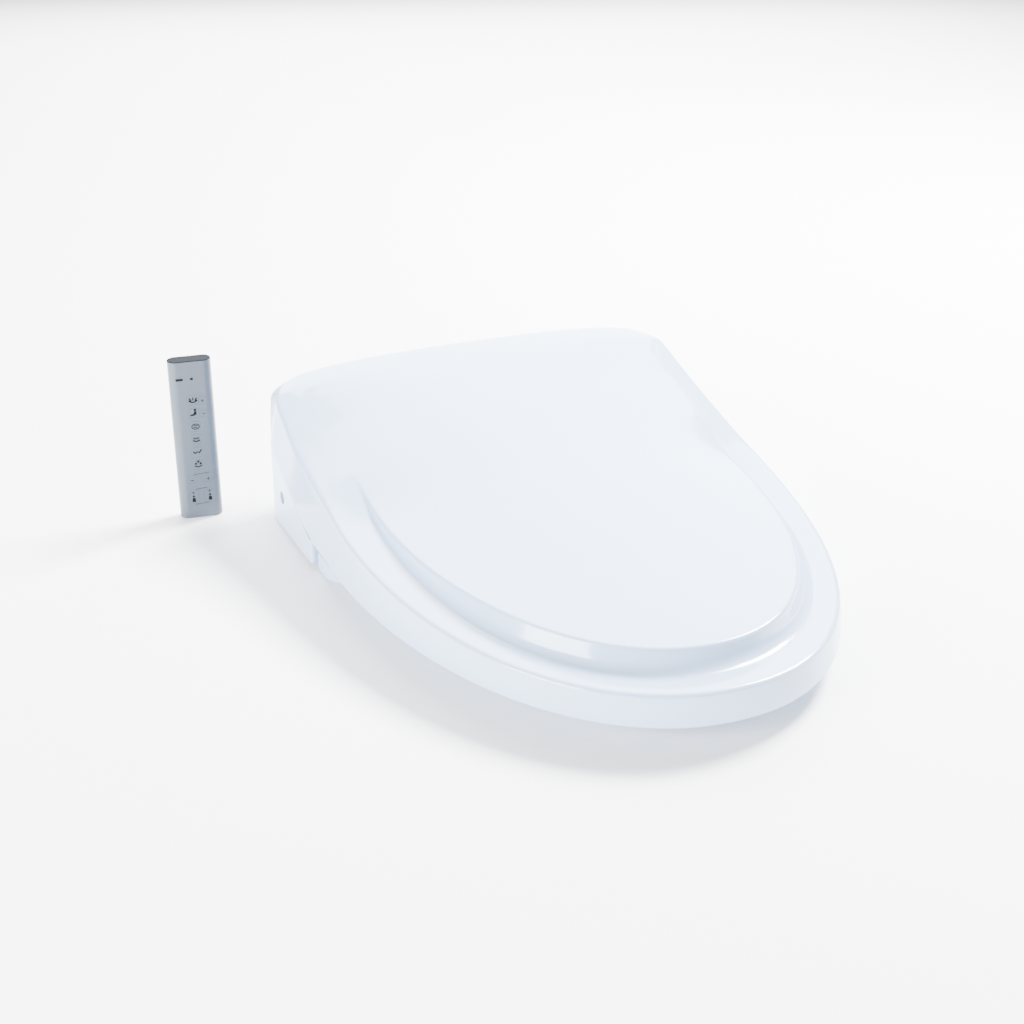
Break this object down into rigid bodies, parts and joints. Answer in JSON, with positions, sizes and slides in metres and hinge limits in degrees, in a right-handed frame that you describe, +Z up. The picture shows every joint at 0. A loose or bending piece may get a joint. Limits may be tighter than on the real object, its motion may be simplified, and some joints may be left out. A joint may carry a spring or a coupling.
{
  "type": "electric bidet seat",
  "caption": "Low electric bidet seat: a crowned white lid over a heated seat, a rear case with a sliding wash wand, a warm-air dryer and a slim upright hand remote.",
  "frame": {"origin": "midway between the two toilet fixing bolts, on the plane where the unit meets the bowl", "axes": "+X to the right seen from the front, -Y towards the front tip, +Z up"},
  "size_m": [0.4644, 0.525, 0.146],
  "materials": {
    "white_plastic": "moulded gloss",
    "seat_plastic": "moulded gloss",
    "grey_plastic": "moulded satin",
    "tray_plastic": "moulded satin",
    "remote_grey": "fine satin paint",
    "remote_cap_grey": "satin",
    "key_grey": "fine satin paint, printed symbol",
    "display_black": "smoked window",
    "clear_lens": "frosted lens",
    "soft_rubber": "moulded",
    "stainless": "turned",
    "brass": "cast and machined",
    "circuit_green": "solder mask",
    "hose_silicone": "extruded",
    "battery_steel": "plated",
    "motor_steel": "plated can",
    "heater_foil": "foil"
  },
  "bodies": {
    "case": {"base_plate": "grey_plastic", "lower_case": "tray_plastic", "upper_case": "white_plastic", "front_bezel": "white_plastic", "drain_plug": "tray_plastic", "night_light_lens": "clear_lens", "case_screws": "stainless", "base_pads": "soft_rubber", "water_inlet": "brass", "solenoid_valve": "grey_plastic", "heater_tank": "tray_plastic", "water_pump": "motor_steel", "water_hoses": "hose_silicone", "wand_guide": "grey_plastic", "wand_motor": "motor_steel", "dryer_housing": "grey_plastic", "dryer_motor": "motor_steel", "control_board": "circuit_green", "power_supply": "grey_plastic", "power_cord_gland": "soft_rubber", "deodoriser_housing": "grey_plastic", "hinge_shafts": "stainless", "soft_close_dampers": "grey_plastic"},
    "seat": {"seat_top": "seat_plastic", "seat_base": "seat_plastic", "seat_rear_corners": "seat_plastic", "seat_heater": "heater_foil", "seat_bumpers": "soft_rubber"},
    "lid": {"lid_shell": "white_plastic", "lid_bumpers": "soft_rubber"},
    "wand": {"wand_tube": "stainless", "wand_tip": "white_plastic"},
    "wand_roller": {"wand_roller": "soft_rubber"},
    "dryer_impeller": {"dryer_impeller": "grey_plastic"},
    "dryer_flap": {"dryer_flap": "white_plastic"},
    "deodoriser_cartridge": {"deodoriser_cartridge": "tray_plastic"},
    "release_button": {"release_button": "white_plastic"},
    "remote": {"remote_shell": "remote_grey", "remote_top_cap": "remote_cap_grey", "remote_display": "display_black", "remote_lamp": "display_black", "remote_circuit_board": "circuit_green", "remote_batteries": "battery_steel"},
    "battery_door": {"remote_battery_door": "remote_grey"},
    "key_rear_wash": {"key_rear_wash": "key_grey"},
    "key_front_wash": {"key_front_wash": "key_grey"},
    "key_wide_wash": {"key_wide_wash": "key_grey"},
    "key_pulse": {"key_pulse": "key_grey"},
    "key_dryer": {"key_dryer": "key_grey"},
    "key_stop": {"key_stop": "key_grey"},
    "key_pressure_up": {"key_pressure_up": "key_grey"},
    "key_pressure_down": {"key_pressure_down": "key_grey"},
    "key_warmer_less": {"key_warmer_less": "key_grey"},
    "key_warmer_more": {"key_warmer_more": "key_grey"},
    "key_wand_back": {"key_wand_back": "key_grey"},
    "key_wand_forward": {"key_wand_forward": "key_grey"}
  },
  "joints": [
    {"name": "seat_hinge", "type": "hinge", "parent": "case", "child": "seat", "pos_m": [0, 0.014, 0.096], "axis": [1, 0, 0], "range_deg": [-92, 0]},
    {"name": "lid_hinge", "type": "hinge", "parent": "seat", "child": "lid", "pos_m": [0, 0.014, 0.096], "axis": [-1, 0, 0], "range_deg": [0, 95]},
    {"name": "wand_slide", "type": "slide", "parent": "case", "child": "wand", "axis": [0, -0.9397, -0.342], "range_m": [0, 0.095]},
    {"name": "wand_roller_spin", "type": "hinge", "parent": "case", "child": "wand_roller", "pos_m": [0, -0.04802, 0.06937], "axis": [1, 0, 0], "range_deg": [-720, 0]},
    {"name": "dryer_fan_spin", "type": "hinge", "parent": "case", "child": "dryer_impeller", "pos_m": [0.052, -0.034, 0.04], "axis": [0, 0, 1], "continuous": true},
    {"name": "dryer_flap_hinge", "type": "hinge", "parent": "case", "child": "dryer_flap", "pos_m": [0.038, -0.1, 0.0392], "axis": [-1, 0, 0], "range_deg": [0, 60]},
    {"name": "cartridge_slide", "type": "slide", "parent": "case", "child": "deodoriser_cartridge", "axis": [1, 0, 0], "range_m": [0, 0.045]},
    {"name": "release_button_press", "type": "slide", "parent": "case", "child": "release_button", "axis": [-1, 0, 0], "range_m": [0, 0.003], "stiffness_N_per_m": 600, "springref_m": -0.002},
    {"name": "remote_lift", "type": "slide", "parent": "case", "child": "remote", "axis": [0, 0, 1], "range_m": [0, 0.15]},
    {"name": "battery_door_lift", "type": "slide", "parent": "remote", "child": "battery_door", "axis": [0.1045, 0.9945, 0], "range_m": [0, 0.02]},
    {"name": "key_rear_wash_press", "type": "slide", "parent": "remote", "child": "key_rear_wash", "axis": [0.1045, 0.9945, 0], "range_m": [0, 0.0006], "stiffness_N_per_m": 300, "springref_m": -0.0005},
    {"name": "key_front_wash_press", "type": "slide", "parent": "remote", "child": "key_front_wash", "axis": [0.1045, 0.9945, 0], "range_m": [0, 0.0006], "stiffness_N_per_m": 300, "springref_m": -0.0005},
    {"name": "key_wide_wash_press", "type": "slide", "parent": "remote", "child": "key_wide_wash", "axis": [0.1045, 0.9945, 0], "range_m": [0, 0.0006], "stiffness_N_per_m": 300, "springref_m": -0.0005},
    {"name": "key_pulse_press", "type": "slide", "parent": "remote", "child": "key_pulse", "axis": [0.1045, 0.9945, 0], "range_m": [0, 0.0006], "stiffness_N_per_m": 300, "springref_m": -0.0005},
    {"name": "key_dryer_press", "type": "slide", "parent": "remote", "child": "key_dryer", "axis": [0.1045, 0.9945, 0], "range_m": [0, 0.0006], "stiffness_N_per_m": 300, "springref_m": -0.0005},
    {"name": "key_stop_press", "type": "slide", "parent": "remote", "child": "key_stop", "axis": [0.1045, 0.9945, 0], "range_m": [0, 0.0006], "stiffness_N_per_m": 300, "springref_m": -0.0005},
    {"name": "key_pressure_up_press", "type": "slide", "parent": "remote", "child": "key_pressure_up", "axis": [0.1045, 0.9945, 0], "range_m": [0, 0.0006], "stiffness_N_per_m": 300, "springref_m": -0.0005},
    {"name": "key_pressure_down_press", "type": "slide", "parent": "remote", "child": "key_pressure_down", "axis": [0.1045, 0.9945, 0], "range_m": [0, 0.0006], "stiffness_N_per_m": 300, "springref_m": -0.0005},
    {"name": "key_warmer_less_press", "type": "slide", "parent": "remote", "child": "key_warmer_less", "axis": [0.1045, 0.9945, 0], "range_m": [0, 0.0006], "stiffness_N_per_m": 300, "springref_m": -0.0005},
    {"name": "key_warmer_more_press", "type": "slide", "parent": "remote", "child": "key_warmer_more", "axis": [0.1045, 0.9945, 0], "range_m": [0, 0.0006], "stiffness_N_per_m": 300, "springref_m": -0.0005},
    {"name": "key_wand_back_press", "type": "slide", "parent": "remote", "child": "key_wand_back", "axis": [0.1045, 0.9945, 0], "range_m": [0, 0.0006], "stiffness_N_per_m": 300, "springref_m": -0.0005},
    {"name": "key_wand_forward_press", "type": "slide", "parent": "remote", "child": "key_wand_forward", "axis": [0.1045, 0.9945, 0], "range_m": [0, 0.0006], "stiffness_N_per_m": 300, "springref_m": -0.0005}
  ],
  "couplings": [
    {"joint": "wand_roller_spin", "follows": "wand_slide", "rad_per_m": -128.21}
  ]
}
